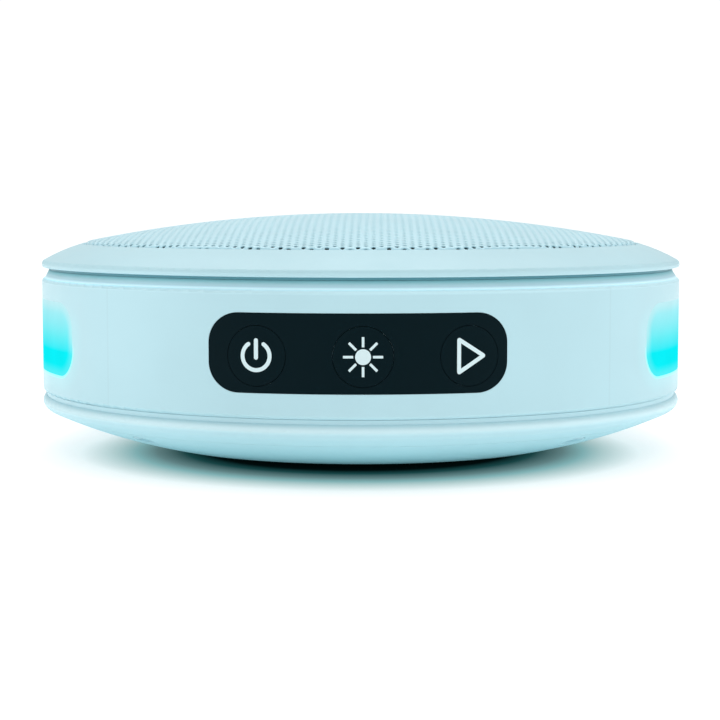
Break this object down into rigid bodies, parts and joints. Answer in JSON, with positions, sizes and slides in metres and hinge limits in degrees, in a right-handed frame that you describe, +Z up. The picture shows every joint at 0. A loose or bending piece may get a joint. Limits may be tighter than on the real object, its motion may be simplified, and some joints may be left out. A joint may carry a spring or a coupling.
{
  "type": "portable bluetooth speaker",
  "caption": "Flat round portable speaker with a domed perforated grille, a smooth band with a key strip, and a glowing window on each side.",
  "frame": {"origin": "centre of the circle the speaker stands on, on the resting plane", "axes": "+Z up along the puck's axis; -Y is the front with the keys; +X is the user's right when facing the keys"},
  "size_m": [0.1282, 0.1282, 0.0458],
  "materials": {
    "shell_plastic": "satin",
    "grille_paint": "satin",
    "dust_cloth": "matte",
    "light_diffuser": "satin",
    "light_tunnel": "gloss",
    "strip_black": "satin",
    "icon_white": "satin",
    "foot_rubber": "matte",
    "flap_rubber": "matte",
    "seal_rubber": "matte",
    "circuit_board": "satin",
    "chip_package": "matte",
    "led_package": "gloss",
    "plated_steel": "satin",
    "battery_can": "gloss",
    "inner_black": "matte",
    "ferrite": "matte",
    "cone_paper": "matte",
    "coil_copper": "satin",
    "spider_cloth": "matte",
    "wire_sleeve": "satin"
  },
  "bodies": {
    "enclosure": {"top_bezel": "shell_plastic", "baffle": "shell_plastic", "mid_frame": "shell_plastic", "band": "shell_plastic", "bottom_shell": "shell_plastic", "base_cover": "shell_plastic", "grille": "grille_paint", "grille_cloth": "dust_cloth", "left_light_lens": "light_diffuser", "right_light_lens": "light_diffuser", "left_light_box": "light_tunnel", "right_light_box": "light_tunnel", "control_strip": "strip_black", "foot_ring": "foot_rubber", "base_gasket": "seal_rubber", "driver_gasket": "seal_rubber", "surround": "seal_rubber", "main_board": "circuit_board", "left_led_board": "circuit_board", "right_led_board": "circuit_board", "key_board": "circuit_board", "bluetooth_module": "chip_package", "amplifier_chip": "chip_package", "board_parts": "chip_package", "key_switches": "chip_package", "left_leds": "led_package", "right_leds": "led_package", "usb_socket": "plated_steel", "top_plate": "plated_steel", "yoke": "plated_steel", "base_screws": "plated_steel", "baffle_screws": "plated_steel", "bezel_screws": "plated_steel", "driver_screws": "plated_steel", "battery": "battery_can", "battery_cradle": "inner_black", "driver_frame": "inner_black", "magnet": "ferrite", "spider": "spider_cloth", "battery_leads": "wire_sleeve", "speaker_leads": "wire_sleeve", "key_leads": "wire_sleeve", "light_leads": "wire_sleeve"},
    "power_button": {"power_key": "strip_black", "power_icon": "icon_white"},
    "light_button": {"light_key": "strip_black", "light_icon": "icon_white"},
    "play_button": {"play_key": "strip_black", "play_icon": "icon_white"},
    "cone_assembly": {"cone": "cone_paper", "dust_cap": "cone_paper", "voice_coil": "coil_copper"},
    "port_flap": {"port_cover": "flap_rubber"}
  },
  "joints": [
    {"name": "power_press", "type": "slide", "parent": "enclosure", "child": "power_button", "axis": [0.2723, 0.9622, 0], "range_m": [0, 0.00035], "stiffness_N_per_m": 150},
    {"name": "light_press", "type": "slide", "parent": "enclosure", "child": "light_button", "axis": [-0.0148, 0.9999, 0], "range_m": [0, 0.00035], "stiffness_N_per_m": 150},
    {"name": "play_press", "type": "slide", "parent": "enclosure", "child": "play_button", "axis": [-0.3007, 0.9537, 0], "range_m": [0, 0.00035], "stiffness_N_per_m": 150},
    {"name": "cone_travel", "type": "slide", "parent": "enclosure", "child": "cone_assembly", "axis": [0, 0, 1], "range_m": [-0.0015, 0.0015], "stiffness_N_per_m": 1200, "deforming": ["surround", "spider"]},
    {"name": "port_flap_hinge", "type": "hinge", "parent": "enclosure", "child": "port_flap", "pos_m": [0, 0.0633, 0.0179], "axis": [-1, 0, 0], "range_deg": [0, 90]}
  ]
}
